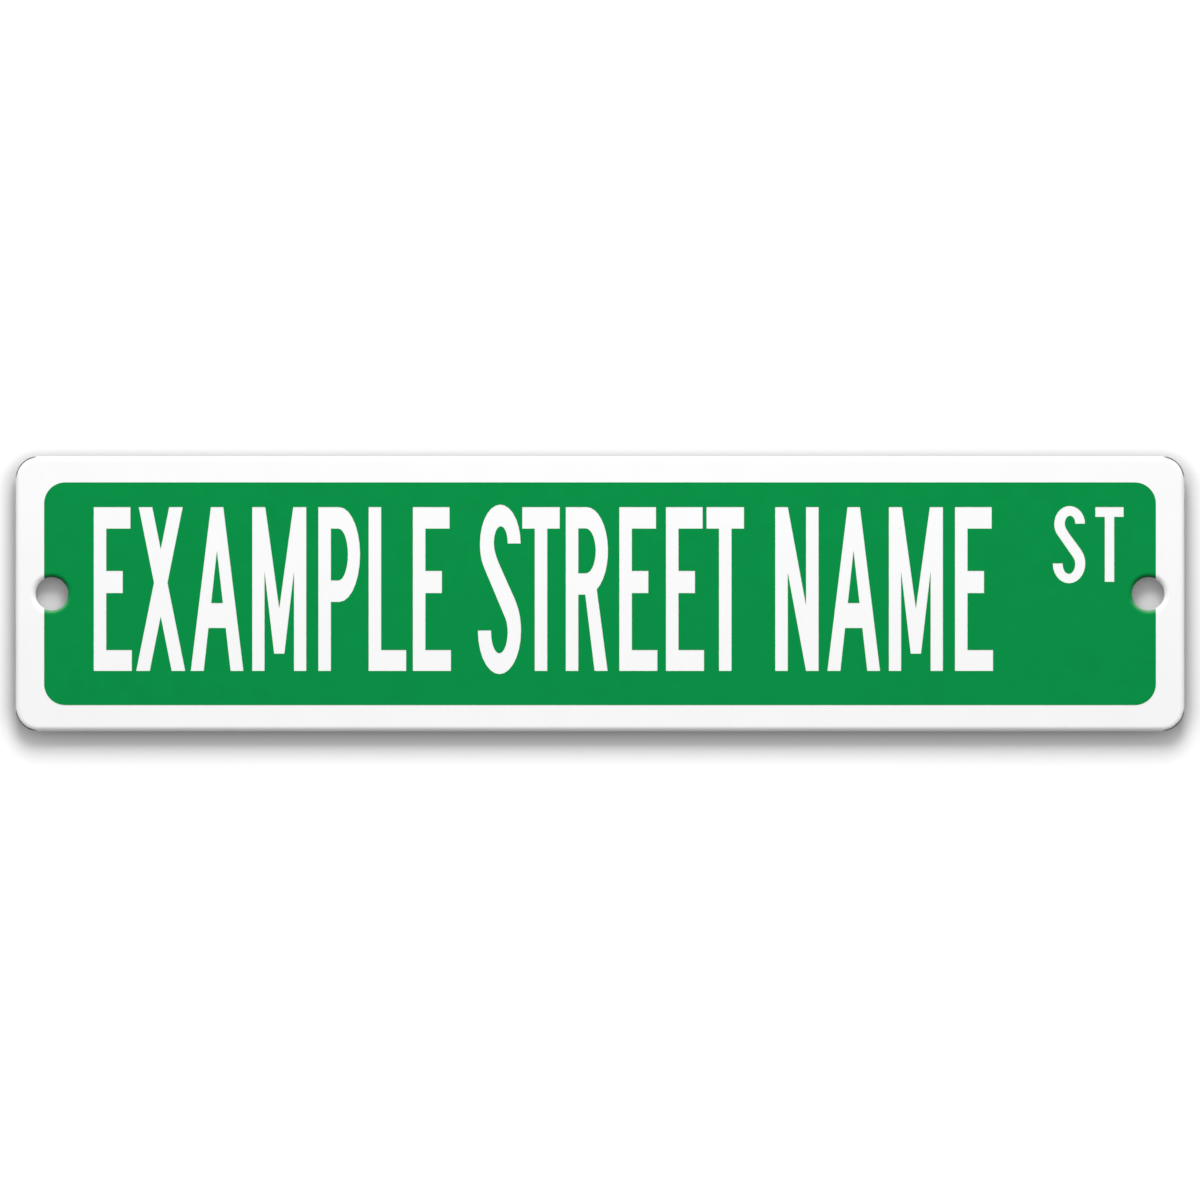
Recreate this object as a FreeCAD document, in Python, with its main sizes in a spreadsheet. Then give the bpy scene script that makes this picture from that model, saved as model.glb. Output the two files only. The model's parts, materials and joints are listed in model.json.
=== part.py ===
import FreeCAD, Part

import math
import os
from enum import IntEnum

import Sketcher
from FreeCAD import Vector

# Street name sign: one flat plate with round corners, its front edges rolled over, a screw hole near
# each end, and a field of green film on its front that runs down into the holes' rolled edges.
#
# Frame, in millimetres: the origin is on the plate's back face, midway between the two holes.
# X runs along the sign, Z points up, and the front looks towards -Y.

# Name, value and meaning of every size that can be set by itself.
SIZES = [
    ("plate_length", 431.8, "overall length, 17 inches"),
    ("plate_height", 101.6, "overall height, 4 inches"),
    ("plate_gauge", 3.175, "thickness of the sheet, 1/8 inch"),
    ("corner_radius", 8.4, "radius of the plate's four corners"),
    ("front_rounding", 2.0, "radius rolled on the front edges of the outline and the holes"),
    ("back_break", 0.3, "radius that takes the sharpness off the back edges"),
    ("hole_radius", 6.05, "radius of a screw hole's straight wall"),
    ("hole_inset", 13.35, "from the plate's end to the centre of its hole"),
    ("film_thickness", 0.1, "thickness of the green film"),
    ("field_end_margin", 10.7, "white border left and right of the field"),
    ("field_side_margin", 9.7, "white border above and below the field"),
    ("field_corner_radius", 7.8, "radius of the field's four corners"),
    ("lip_wrap", 70.0, "degrees that the film follows a hole's rolled edge"),
]

# Places and sizes that follow from them, as expressions on the sheet.
HOLE_CENTRE = "Sizes.plate_length / 2 - Sizes.hole_inset"
HOLE_SPACING = "Sizes.plate_length - 2 * Sizes.hole_inset"
HOLE_MOUTH_RADIUS = "Sizes.hole_radius + Sizes.front_rounding"
FIELD_LENGTH = "Sizes.plate_length - 2 * Sizes.field_end_margin"
FIELD_HEIGHT = "Sizes.plate_height - 2 * Sizes.field_side_margin"

# How a sketch numbers the points of an edge, and its own level axis.
Point = IntEnum("Point", ["START", "END", "CENTRE"])
Axis = IntEnum("Axis", {"LEVEL": -1})
START, END, CENTRE = Point
SKETCH_ORIGIN = (Axis.LEVEL, START)


def make_sheet(document):
    """Put the driving sizes in a spreadsheet, one row each, with an alias on every value."""
    sheet = document.addObject("Spreadsheet::Sheet", "Sizes")
    for row, (alias, value, meaning) in enumerate(SIZES, start=1):
        sheet.set(f"A{row}", alias)
        sheet.set(f"B{row}", str(value))
        sheet.setAlias(f"B{row}", alias)
        sheet.set(f"C{row}", meaning)
    document.recompute()
    return sheet


def worked_out(sheet, expression):
    """The number that an expression on the sheet gives now."""
    return float(sheet.evalExpression(expression))


def origin_plane(body, role):
    """One of a body's own three origin planes, by its role, such as XZ_Plane."""
    return next(item for item in body.Origin.OriginFeatures if item.Role == role)


def make_sketch(body, name, role):
    """A new sketch on one of the body's origin planes."""
    sketch = body.newObject("Sketcher::SketchObject", name)
    sketch.AttachmentSupport = [(origin_plane(body, role), "")]
    sketch.MapMode = "FlatFace"
    return sketch


def dimension(sketch, name, expression, *constraint):
    """Add a named dimension to a sketch and bind it to an expression."""
    index = sketch.addConstraint(Sketcher.Constraint(*constraint))
    sketch.renameConstraint(index, name)
    sketch.setExpression(f"Constraints.{name}", expression)


def draw_rounded_rectangle(sheet, sketch, name, length, height, radius):
    """Draw a rectangle with round corners about the sketch's origin, from three expressions."""
    long_side = worked_out(sheet, length)
    short_side = worked_out(sheet, height)
    corner = worked_out(sheet, radius)
    reach = long_side / 2
    rise = short_side / 2
    centre_x = reach - corner
    centre_y = rise - corner

    def side(start_x, start_y, end_x, end_y):
        line = Part.LineSegment(Vector(start_x, start_y, 0), Vector(end_x, end_y, 0))
        return sketch.addGeometry(line)

    def turn(x, y, start_degrees):
        circle = Part.Circle(Vector(x, y, 0), Vector(0, 0, 1), corner)
        start = math.radians(start_degrees)
        return sketch.addGeometry(Part.ArcOfCircle(circle, start, start + math.pi / 2))

    bottom = side(-centre_x, -rise, centre_x, -rise)
    bottom_right = turn(centre_x, -centre_y, 270)
    right = side(reach, -centre_y, reach, centre_y)
    top_right = turn(centre_x, centre_y, 0)
    top = side(centre_x, rise, -centre_x, rise)
    top_left = turn(-centre_x, centre_y, 90)
    left = side(-reach, centre_y, -reach, -centre_y)
    bottom_left = turn(-centre_x, -centre_y, 180)

    loop = [bottom, bottom_right, right, top_right, top, top_left, left, bottom_left]
    for edge, following in zip(loop, loop[1:] + loop[:1]):
        sketch.addConstraint(Sketcher.Constraint("Tangent", edge, END, following, START))
    for edge in (bottom, top):
        sketch.addConstraint(Sketcher.Constraint("Horizontal", edge))
    for edge in (left, right):
        sketch.addConstraint(Sketcher.Constraint("Vertical", edge))
    for edge in (bottom_right, top_right, top_left):
        sketch.addConstraint(Sketcher.Constraint("Equal", bottom_left, edge))
    sketch.addConstraint(
        Sketcher.Constraint("Symmetric", bottom_left, CENTRE, top_right, CENTRE, *SKETCH_ORIGIN)
    )
    dimension(sketch, f"{name}_length", length, "DistanceX", left, START, right, START, long_side)
    dimension(sketch, f"{name}_height", height, "DistanceY", bottom, START, top, START, short_side)
    dimension(sketch, f"{name}_corner", radius, "Radius", bottom_left, corner)


def draw_rectangle(sheet, sketch, name, length, height):
    """Draw a plain rectangle about the sketch's origin, from two expressions."""
    long_side = worked_out(sheet, length)
    short_side = worked_out(sheet, height)
    x = long_side / 2
    y = short_side / 2
    corners = [Vector(-x, -y, 0), Vector(x, -y, 0), Vector(x, y, 0), Vector(-x, y, 0)]
    sides = [
        sketch.addGeometry(Part.LineSegment(start, end))
        for start, end in zip(corners, corners[1:] + corners[:1])
    ]
    for edge, following in zip(sides, sides[1:] + sides[:1]):
        sketch.addConstraint(Sketcher.Constraint("Coincident", edge, END, following, START))
    bottom, right, top, left = sides
    for edge in (bottom, top):
        sketch.addConstraint(Sketcher.Constraint("Horizontal", edge))
    for edge in (left, right):
        sketch.addConstraint(Sketcher.Constraint("Vertical", edge))
    sketch.addConstraint(
        Sketcher.Constraint("Symmetric", bottom, START, top, START, *SKETCH_ORIGIN)
    )
    dimension(sketch, f"{name}_length", length, "DistanceX", bottom, START, bottom, END, long_side)
    dimension(sketch, f"{name}_height", height, "DistanceY", right, START, right, END, short_side)


def draw_hole_pair(sheet, sketch, radius):
    """Draw a circle round each hole's centre, both of the radius that an expression gives."""
    across = worked_out(sheet, HOLE_CENTRE)
    size = worked_out(sheet, radius)
    left, right = [
        sketch.addGeometry(Part.Circle(Vector(x, 0, 0), Vector(0, 0, 1), size))
        for x in (-across, across)
    ]
    sketch.addConstraint(Sketcher.Constraint("Equal", left, right))
    sketch.addConstraint(Sketcher.Constraint("PointOnObject", left, CENTRE, Axis.LEVEL))
    sketch.addConstraint(
        Sketcher.Constraint("Symmetric", left, CENTRE, right, CENTRE, *SKETCH_ORIGIN)
    )
    dimension(sketch, "spacing", HOLE_SPACING, "DistanceX", left, CENTRE, right, CENTRE, 2 * across)
    dimension(sketch, "hole", radius, "Radius", left, size)


def pad_forward(body, sketch, name, length):
    """Pad a sketch towards the front by the length that an expression gives."""
    feature = body.newObject("PartDesign::Pad", name)
    feature.Profile = sketch
    feature.setExpression("Length", length)
    sketch.Visibility = False
    return feature


def cut_through(body, sketch, name):
    """Cut a sketch right through the body, both ways from the sketch's plane."""
    feature = body.newObject("PartDesign::Pocket", name)
    feature.Profile = sketch
    feature.SideType = "Symmetric"
    feature.Type = "ThroughAll"
    sketch.Visibility = False
    return feature


def face_at(feature, level):
    """The name of the flat face that lies at one Y level, facing along Y."""
    for number, face in enumerate(feature.Shape.Faces, start=1):
        flat = isinstance(face.Surface, Part.Plane) and abs(face.Surface.Axis.y) > 0.999
        if flat and abs(face.CenterOfMass.y - level) < 1e-6:
            return f"Face{number}"
    raise RuntimeError(f"{feature.Label} has no flat face at Y = {level}")


def round_edges_of_face(document, body, base, name, level, radius):
    """Fillet every edge of the flat face at one Y level."""
    document.recompute()
    feature = body.newObject("PartDesign::Fillet", name)
    feature.Base = (base, [face_at(base, level)])
    feature.setExpression("Radius", radius)
    return feature


def make_sign_plate(document, sheet):
    """The plate: a blank with round corners, pierced twice, its front edges rolled over."""
    body = document.addObject("PartDesign::Body", "sign_plate")

    outline = make_sketch(body, "PlateOutline", "XZ_Plane")
    draw_rounded_rectangle(
        sheet, outline, "plate", "Sizes.plate_length", "Sizes.plate_height", "Sizes.corner_radius"
    )
    pad_forward(body, outline, "Blank", "Sizes.plate_gauge")

    holes = make_sketch(body, "ScrewHoles", "XZ_Plane")
    draw_hole_pair(sheet, holes, "Sizes.hole_radius")
    pierced = cut_through(body, holes, "Pierced")

    front = -worked_out(sheet, "Sizes.plate_gauge")
    rolled = round_edges_of_face(
        document, body, pierced, "RolledFront", front, "Sizes.front_rounding"
    )
    round_edges_of_face(document, body, rolled, "BrokenBack", 0.0, "Sizes.back_break")
    document.recompute()
    return body


def draw_lip_section(sheet, sketch):
    """Draw the film's section where it follows a rolled edge, with the hole's axis as upright axis.

    Two arcs about the centre of the rolled edge's own arc, from the flat front (270 degrees) round
    towards the hole by the wrap angle, closed by a radial line at each end.
    """
    mouth = worked_out(sheet, HOLE_MOUTH_RADIUS)
    inner_radius = worked_out(sheet, "Sizes.front_rounding")
    outer_radius = inner_radius + worked_out(sheet, "Sizes.film_thickness")
    depth = worked_out(sheet, "Sizes.plate_gauge - Sizes.front_rounding")
    wrap = worked_out(sheet, "Sizes.lip_wrap")
    end_angle = math.radians(270)
    start_angle = math.radians(270 - wrap)
    centre = Vector(mouth, -depth, 0)

    def arc(radius):
        circle = Part.Circle(centre, Vector(0, 0, 1), radius)
        return sketch.addGeometry(Part.ArcOfCircle(circle, start_angle, end_angle))

    def point(radius, angle):
        return centre + Vector(radius * math.cos(angle), radius * math.sin(angle), 0)

    inner = arc(inner_radius)
    outer = arc(outer_radius)
    flat_end = sketch.addGeometry(
        Part.LineSegment(point(outer_radius, end_angle), point(inner_radius, end_angle))
    )
    turned_end = sketch.addGeometry(
        Part.LineSegment(point(outer_radius, start_angle), point(inner_radius, start_angle))
    )
    sketch.addConstraint(Sketcher.Constraint("Coincident", inner, CENTRE, outer, CENTRE))
    sketch.addConstraint(Sketcher.Constraint("Coincident", flat_end, START, outer, END))
    sketch.addConstraint(Sketcher.Constraint("Coincident", flat_end, END, inner, END))
    sketch.addConstraint(Sketcher.Constraint("Coincident", turned_end, START, outer, START))
    sketch.addConstraint(Sketcher.Constraint("Coincident", turned_end, END, inner, START))
    sketch.addConstraint(Sketcher.Constraint("Vertical", flat_end))
    for radial in (flat_end, turned_end):
        sketch.addConstraint(Sketcher.Constraint("PointOnObject", inner, CENTRE, radial))
    dimension(
        sketch, "mouth", HOLE_MOUTH_RADIUS, "DistanceX", *SKETCH_ORIGIN, inner, CENTRE, mouth
    )
    dimension(
        sketch,
        "depth",
        "Sizes.plate_gauge - Sizes.front_rounding",
        "DistanceY",
        inner,
        CENTRE,
        *SKETCH_ORIGIN,
        depth,
    )
    dimension(sketch, "rolled", "Sizes.front_rounding", "Radius", inner, inner_radius)
    dimension(
        sketch,
        "film_face",
        "Sizes.front_rounding + Sizes.film_thickness",
        "Radius",
        outer,
        outer_radius,
    )
    dimension(
        sketch,
        "turned_end",
        "(90 - Sizes.lip_wrap) * 1 deg",
        "Angle",
        turned_end,
        math.radians(90 - wrap),
    )


def make_green_field(document, sheet):
    """The film: a flat field open round the holes, with lips that follow their rolled edges."""
    body = document.addObject("PartDesign::Body", "green_field")
    field = (FIELD_LENGTH, FIELD_HEIGHT, "Sizes.field_corner_radius")

    outline = make_sketch(body, "FieldOutline", "XZ_Plane")
    outline.setExpression("AttachmentOffset.Base.z", "Sizes.plate_gauge")
    draw_rounded_rectangle(sheet, outline, "field", *field)
    pad_forward(body, outline, "Film", "Sizes.film_thickness")

    mouths = make_sketch(body, "HoleMouths", "XZ_Plane")
    draw_hole_pair(sheet, mouths, HOLE_MOUTH_RADIUS)
    cut_through(body, mouths, "OpenRoundHoles")

    section = make_sketch(body, "LipSection", "XY_Plane")
    section.setExpression("AttachmentOffset.Base.x", HOLE_CENTRE)
    draw_lip_section(sheet, section)
    lip = body.newObject("PartDesign::Revolution", "RightLip")
    lip.Profile = section
    lip.ReferenceAxis = (section, ["V_Axis"])
    lip.Angle = 360
    section.Visibility = False
    document.recompute()

    both = body.newObject("PartDesign::Mirrored", "BothLips")
    both.Originals = [lip]
    both.MirrorPlane = (origin_plane(body, "YZ_Plane"), [""])
    body.Tip = both
    document.recompute()

    # The lips run all the way round the holes, so what passes the field's ends is trimmed off.
    surround = make_sketch(body, "FieldSurround", "XZ_Plane")
    draw_rectangle(sheet, surround, "surround", "Sizes.plate_length", "Sizes.plate_height")
    draw_rounded_rectangle(sheet, surround, "field", *field)
    body.Tip = cut_through(body, surround, "TrimmedToField")
    document.recompute()
    return body


def check(document, bodies):
    """Stop if any object failed, or if a piece isn't one sound solid."""
    for item in document.Objects:
        if "Invalid" in item.State or "Error" in item.State:
            raise RuntimeError(f"{item.Name} failed: {item.State}")
        if item.isDerivedFrom("Sketcher::SketchObject") and item.FullyConstrained is False:
            raise RuntimeError(f"{item.Name} isn't fully constrained")
    for body in bodies:
        shape = body.Shape
        if shape.isNull() or not shape.isValid():
            raise RuntimeError(f"{body.Label} has no valid shape")
        if len(shape.Solids) != 1:
            raise RuntimeError(f"{body.Label} has {len(shape.Solids)} solids")


def main():
    document = FreeCAD.newDocument("StreetNameSign")
    sheet = make_sheet(document)
    bodies = [make_sign_plate(document, sheet), make_green_field(document, sheet)]
    for body in bodies:
        body.Label = body.Name
        body.Placement = FreeCAD.Placement()
    document.recompute()
    check(document, bodies)

    os.makedirs("parts", exist_ok=True)
    for body in bodies:
        body.Shape.exportStep(f"parts/{body.Label}.step")
        box = body.Shape.optimalBoundingBox(False, False)
        print(
            f"{body.Label}: {body.Shape.Volume:.1f} mm3, {len(body.Shape.Faces)} faces, "
            f"{box.XLength:.3f} x {box.YLength:.3f} x {box.ZLength:.3f} mm"
        )


main()
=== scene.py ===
import json
import math
from collections import namedtuple

import bpy
import numpy as np
from mathutils.geometry import delaunay_2d_cdt
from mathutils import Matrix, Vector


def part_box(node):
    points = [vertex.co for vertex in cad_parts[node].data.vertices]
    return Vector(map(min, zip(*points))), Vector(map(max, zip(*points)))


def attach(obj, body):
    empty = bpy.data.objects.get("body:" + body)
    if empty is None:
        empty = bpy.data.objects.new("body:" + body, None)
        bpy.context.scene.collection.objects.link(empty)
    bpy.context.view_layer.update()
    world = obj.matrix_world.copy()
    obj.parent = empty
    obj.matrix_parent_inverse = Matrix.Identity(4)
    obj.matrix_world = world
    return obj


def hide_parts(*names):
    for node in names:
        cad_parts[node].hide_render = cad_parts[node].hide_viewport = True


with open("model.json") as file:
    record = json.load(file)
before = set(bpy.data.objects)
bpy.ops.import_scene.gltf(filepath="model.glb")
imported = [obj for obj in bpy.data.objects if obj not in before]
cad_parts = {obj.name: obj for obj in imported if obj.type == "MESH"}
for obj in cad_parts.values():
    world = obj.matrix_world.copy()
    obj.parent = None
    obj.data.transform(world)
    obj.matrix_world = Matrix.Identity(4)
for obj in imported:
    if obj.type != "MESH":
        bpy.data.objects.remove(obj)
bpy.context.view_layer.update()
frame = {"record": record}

bl_info = {
    "name": "Street Name Sign",
    "version": (1, 0, 0),
    "blender": (4, 5, 0),
    "location": "3D View > Sidebar > Street Sign",
    "description": "Builds a coated sheet sign with a green field, placeholder lettering and a plain studio",
    "category": "Add Mesh",
}

# What the solids and the record say of the sign
PLATE_LOW, PLATE_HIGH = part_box("sign_plate")
FIELD_LOW, FIELD_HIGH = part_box("green_field")
FILM_GAUGE = round(PLATE_LOW.y - FIELD_LOW.y, 6)
HOLES = next(mount["dims"] for mount in frame["record"]["mounts"] if mount["name"] == "screw_holes")
FINISHES = {material["slot"]: material["base_color"] for material in frame["record"]["materials"]}
MILLIMETRE = 0.001

# Into how many faces the surfaces are cut
CORNER_STEPS = 24  # along the quarter circle of a corner
ROUND_STEPS = 14  # over a rolled edge
HOLE_STEPS = 96  # round a hole
MOUTH_STEPS = 64  # along the film's lip in a hole
LETTER_STEPS = 14  # along a bend of a letter
BOARD_STEPS = 8  # along a side of a stage board

FRONT = np.array([0.0, -1.0, 0.0])  # the way that the sign faces
STROKES_HIGH = 7.6  # a capital is this many strokes high
SAME_POINT = 1e-7  # two runs of an outline share the points that are nearer than this, in strokes
WELD = 1e-9  # outlines that come nearer than this, in metres, touch
WHITE = (1.0, 1.0, 1.0)
BLACK = (0.0, 0.0, 0.0)
MIDDLE = (0.3, 0.7)  # most of what a noise gives lies between these
NUMBER, COLOUR, VECTOR = "NodeSocketFloat", "NodeSocketColor", "NodeSocketVector"
MIX_SOCKETS = {"FLOAT": (0, 2, 3, 0), "RGBA": (0, 6, 7, 2)}  # three inputs and the output, for each kind

Capital = namedtuple("Capital", "width before after outlines")


def distance(name, description, default):
    """A length that the panel shows in the scene's own units."""
    return bpy.props.FloatProperty(
        name=name, description=description, default=default, unit="LENGTH", subtype="DISTANCE", precision=5
    )


def fraction(name, description, default):
    """A part of a whole, from 0 to 1."""
    return bpy.props.FloatProperty(
        name=name, description=description, default=default, subtype="FACTOR", min=0.0, max=1.0
    )


def brightness(name, description, default):
    """A level of light, where 1 shows as plain white."""
    return bpy.props.FloatProperty(name=name, description=description, default=default, min=0.0)


def colour(name, description, default):
    """A plain linear colour."""
    return bpy.props.FloatVectorProperty(
        name=name, description=description, default=default, subtype="COLOR", size=3, min=0.0, max=1.0
    )


class SignSizes(bpy.types.PropertyGroup):
    """Sizes of the sheet and of its green film, the same as the solids have."""

    plate_length: distance("Plate Length", "Outline of the sheet along X", PLATE_HIGH.x - PLATE_LOW.x)
    plate_height: distance("Plate Height", "Outline of the sheet along Z", PLATE_HIGH.z - PLATE_LOW.z)
    plate_gauge: distance("Gauge", "Thickness of the sheet", PLATE_HIGH.y - PLATE_LOW.y)
    corner_radius: distance("Corner Radius", "Radius of the sheet's corners", 0.0084)
    rolled_edge: distance("Rolled Edge", "Radius of the rolled front edges", 0.002)
    back_break: distance("Back Break", "Radius that takes the sharpness off the back edges", 0.0003)
    hole_radius: distance("Hole Radius", "Radius of the two screw holes", HOLES["hole_r_mm"] * MILLIMETRE)
    hole_spacing: distance("Hole Spacing", "Between the hole centres", HOLES["spacing_x_mm"] * MILLIMETRE)
    film_gauge: distance("Film Gauge", "Thickness of the green film", FILM_GAUGE)
    field_length: distance("Field Length", "Outline of the green field along X", FIELD_HIGH.x - FIELD_LOW.x)
    field_height: distance("Field Height", "Outline of the green field along Z", FIELD_HIGH.z - FIELD_LOW.z)
    field_corner: distance("Field Corner", "Radius of the green field's corners", 0.0078)
    lip_wrap: bpy.props.FloatProperty(
        name="Lip Wrap",
        description="How far the film follows the rolled edge down into each hole",
        default=math.radians(70.0),
        subtype="ANGLE",
        unit="ROTATION",
    )


class SignWording(bpy.types.PropertyGroup):
    """The placeholder words: a large line for the name, and a small raised one for its ending."""

    name_text: bpy.props.StringProperty(
        name="Name", description="Large line of placeholder words", default="EXAMPLE STREET NAME"
    )
    name_left: distance("Name Left", "Where the large line starts", -0.1869)
    name_right: distance("Name Right", "Where the large line ends", 0.1451)
    name_foot: distance("Name Foot", "Height of the large line's feet", -0.0285)
    name_height: distance("Name Height", "Height of a large capital", 0.0605)
    name_stem: distance("Name Stem", "Width of a large capital's upright stroke", 0.00464)
    ending_text: bpy.props.StringProperty(
        name="Ending", description="Small raised letters after the name", default="ST"
    )
    ending_left: distance("Ending Left", "Where the small line starts", 0.1677)
    ending_right: distance("Ending Right", "Where the small line ends", 0.1933)
    ending_foot: distance("Ending Foot", "Height of the small line's feet", 0.0044)
    ending_height: distance("Ending Height", "Height of a small capital", 0.0276)
    ending_stem: distance("Ending Stem", "Width of a small capital's upright stroke", 0.0035)


class SignColours(bpy.types.PropertyGroup):
    """Colours of the finishes and of the studio."""

    coat: colour("White Coat", "Baked white coat of the sheet", FINISHES["white_coat"])
    film: colour("Green Film", "Green of the field", FINISHES["green_film"])
    metal: colour("Bare Metal", "Mill finish sheet behind the coat", (0.6, 0.605, 0.615))
    wall: colour("Backdrop", "Pale board behind the sign", (1.0, 1.0, 1.0))
    floor: colour("Floor", "Pale floor under the sign", (0.38, 0.38, 0.38))


class SignStudio(bpy.types.PropertyGroup):
    """Where the backdrop, the floor, the lamp and the camera stand, and how bright each light is."""

    wall_gap: distance("Backdrop Gap", "From the sign's back face to the backdrop", 0.0048)
    wall_reach: distance("Backdrop Reach", "From the sign's middle to the backdrop's sides and top", 0.6)
    wall_shade: fraction("Backdrop Shade", "How much darker the backdrop is close round the sign", 0.3)
    wall_shade_foot: fraction("Backdrop Shade Foot", "What part of that shade is left below the sign", 0.55)
    wall_shade_drop: distance("Backdrop Shade Drop", "How far below the sign's top that shade starts", 0.004)
    wall_glow: brightness("Backdrop Glow", "Light that the backdrop adds to itself past the shadow", 0.12)
    wall_far_glow: brightness("Backdrop Far Glow", "What more it adds where the lamp reaches less", 0.2)
    floor_drop: distance("Floor Drop", "How far the floor lies below the sign's middle", 0.6)
    floor_reach: distance("Floor Reach", "Half the floor's length and depth", 4.0)
    floor_glow: brightness("Floor Glow", "Light that the floor adds to itself, which makes it pale", 0.45)
    lamp_power: bpy.props.FloatProperty(
        name="Lamp Power", description="Power of the softbox", default=11.3, unit="POWER"
    )
    lamp_size: distance("Lamp Size", "Side of the softbox", 0.65)
    lamp_front: distance("Lamp Front", "How far before the sign the softbox hangs", 0.82)
    lamp_rise: distance("Lamp Rise", "How far above the sign the softbox hangs", 0.95)
    sky: brightness("Sky", "Level of the room's soft light", 0.65)
    sky_slope: fraction("Sky Slope", "How much brighter the room is above, and darker below", 0.3)
    sky_foot: fraction("Sky Foot", "What part of that light is left far below", 0.5)
    sky_back: fraction("Sky Back", "What part of that light is left behind the sign", 0.8)
    camera_distance: distance("Camera Distance", "From the camera to the sign's back face", 2.4644)
    camera_drop: distance("Camera Drop", "How far below the sign's middle the camera stands", 0.00233)
    lens: bpy.props.FloatProperty(
        name="Lens", description="Focal length in millimetres", default=200.0, unit="CAMERA"
    )


def arc(centre, radii, start, end, steps=LETTER_STEPS):
    """Points of an ellipse's arc: centre plus (width times cosine, height times sine) of an angle in degrees
    that goes from start to end."""
    angle = np.radians(np.linspace(start, end, steps + 1))
    return np.asarray(centre) + np.asarray(radii) * np.stack([np.cos(angle), np.sin(angle)], 1)


def bend(a, b, c, d):
    """Points of the cubic curve (1-t)^3 a + 3 t (1-t)^2 b + 3 t^2 (1-t) c + t^3 d, for t from 0 to 1."""
    t = np.linspace(0.0, 1.0, LETTER_STEPS + 1)[:, None]
    a, b, c, d = (np.asarray(point, float) for point in (a, b, c, d))
    return (1 - t) ** 3 * a + 3 * t * (1 - t) ** 2 * b + 3 * t**2 * (1 - t) * c + t**3 * d


def loop(*runs):
    """One closed outline from runs of points, without the points that two runs share."""
    points = np.vstack([np.atleast_2d(np.asarray(run, float)) for run in runs])
    step = np.linalg.norm(points - np.roll(points, 1, axis=0), axis=1)
    return points[step > SAME_POINT]


def alphabet():
    """The capitals that the placeholder words need. Each has its width, the room before and after it, and its
    closed outlines, all in strokes: one across is a stem's width, one up is a bar's height."""
    top = STROKES_HIGH
    return {
        "A": Capital(4.19, 0.22, 0.22, [
            loop([(0, 0), (1.036, 0), (1.409, 1.99), (2.78, 1.99), (3.17, 0), (4.19, 0), (2.59, top),
                  (1.6, top)]),
            loop([(1.627, 3.15), (2.553, 3.15), (2.08, 5.567)]),
        ]),
        "E": Capital(3.03, 0.48, 0.2, [
            loop([(0, 0), (3.03, 0), (3.03, 0.97), (1, 0.97), (1, 3.61), (2.31, 3.61), (2.31, 4.64),
                  (1, 4.64), (1, 6.6), (2.92, 6.6), (2.92, top), (0, top)]),
        ]),
        "L": Capital(2.99, 0.48, 0.05, [
            loop([(0, 0), (2.99, 0), (2.99, 0.97), (1, 0.97), (1, top), (0, top)]),
        ]),
        "M": Capital(4.3, 0.48, 0.48, [
            loop([(0, 0), (0.98, 0), (0.98, 4.6), (1.74, 0.8), (2.56, 0.8), (3.32, 4.6), (3.32, 0),
                  (4.3, 0), (4.3, top), (3.26, top), (2.15, 2.9), (1.04, top), (0, top)]),
        ]),
        "N": Capital(3.45, 0.48, 0.48, [
            loop([(0, 0), (1, 0), (1, 4.55), (2.45, 0), (3.45, 0), (3.45, top), (2.45, top), (2.45, 3.05),
                  (1, top), (0, top)]),
        ]),
        "P": Capital(3.32, 0.48, 0.2, [
            loop([(0, 0), (1, 0), (1, 3.2)], arc((1.67, 5.4), (1.65, 2.2), -90, 90), [(0, top)]),
            loop([(1, 4.2)], arc((1.6, 5.4), (0.75, 1.2), -90, 90), [(1, 6.6)]),
        ]),
        "R": Capital(3.36, 0.48, 0.42, [
            loop([(0, 0), (1, 0), (1, 3.54), (1.55, 3.54), (2.29, 0), (3.33, 0)],
                 arc((1.67, 5.57), (1.69, 2.03), -61.8, 90), [(0, top)]),
            loop([(1, 4.53)], arc((1.59, 5.57), (0.79, 1.04), -90, 90), [(1, 6.61)]),
        ]),
        "S": Capital(3.27, 0.1, 0.1, [
            loop(
                arc((1.62, 5.91), (1.62, 1.81), 0, 180),
                bend((0, 5.91), (0, 5.43), (0.12, 5.09), (0.343, 4.777)),
                bend((1.984, 2.498), (2.12, 2.31), (2.2, 2.08), (2.2, 1.8)),
                arc((1.545, 1.8), (0.655, 0.98), 0, -180),
                [(0.89, 1.88), (-0.16, 1.88)],
                arc((1.555, 1.85), (1.715, 2.0), 180, 360),
                bend((3.27, 1.85), (3.27, 2.45), (3.09, 2.9), (2.757, 3.358)),
                bend((1.641, 4.823), (1.3, 5.27), (1.115, 5.58), (1.115, 5.95)),
                arc((1.66, 5.95), (0.545, 0.76), 180, 0),
                [(2.2, 5.91)],
            ),
        ]),
        "T": Capital(2.98, 0.0, 0.0, [
            loop([(0.99, 0), (1.99, 0), (1.99, 6.6), (2.98, 6.6), (2.98, top), (0, top), (0, 6.6),
                  (0.99, 6.6)]),
        ]),
        "X": Capital(3.9, 0.15, 0.22, [
            loop([(0, 0), (1.08, 0), (1.95, 2.524), (2.82, 0), (3.9, 0), (2.49, 4.09), (3.7, top),
                  (2.62, top), (1.95, 5.656), (1.28, top), (0.2, top), (1.41, 4.09)]),
        ]),
    }


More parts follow.
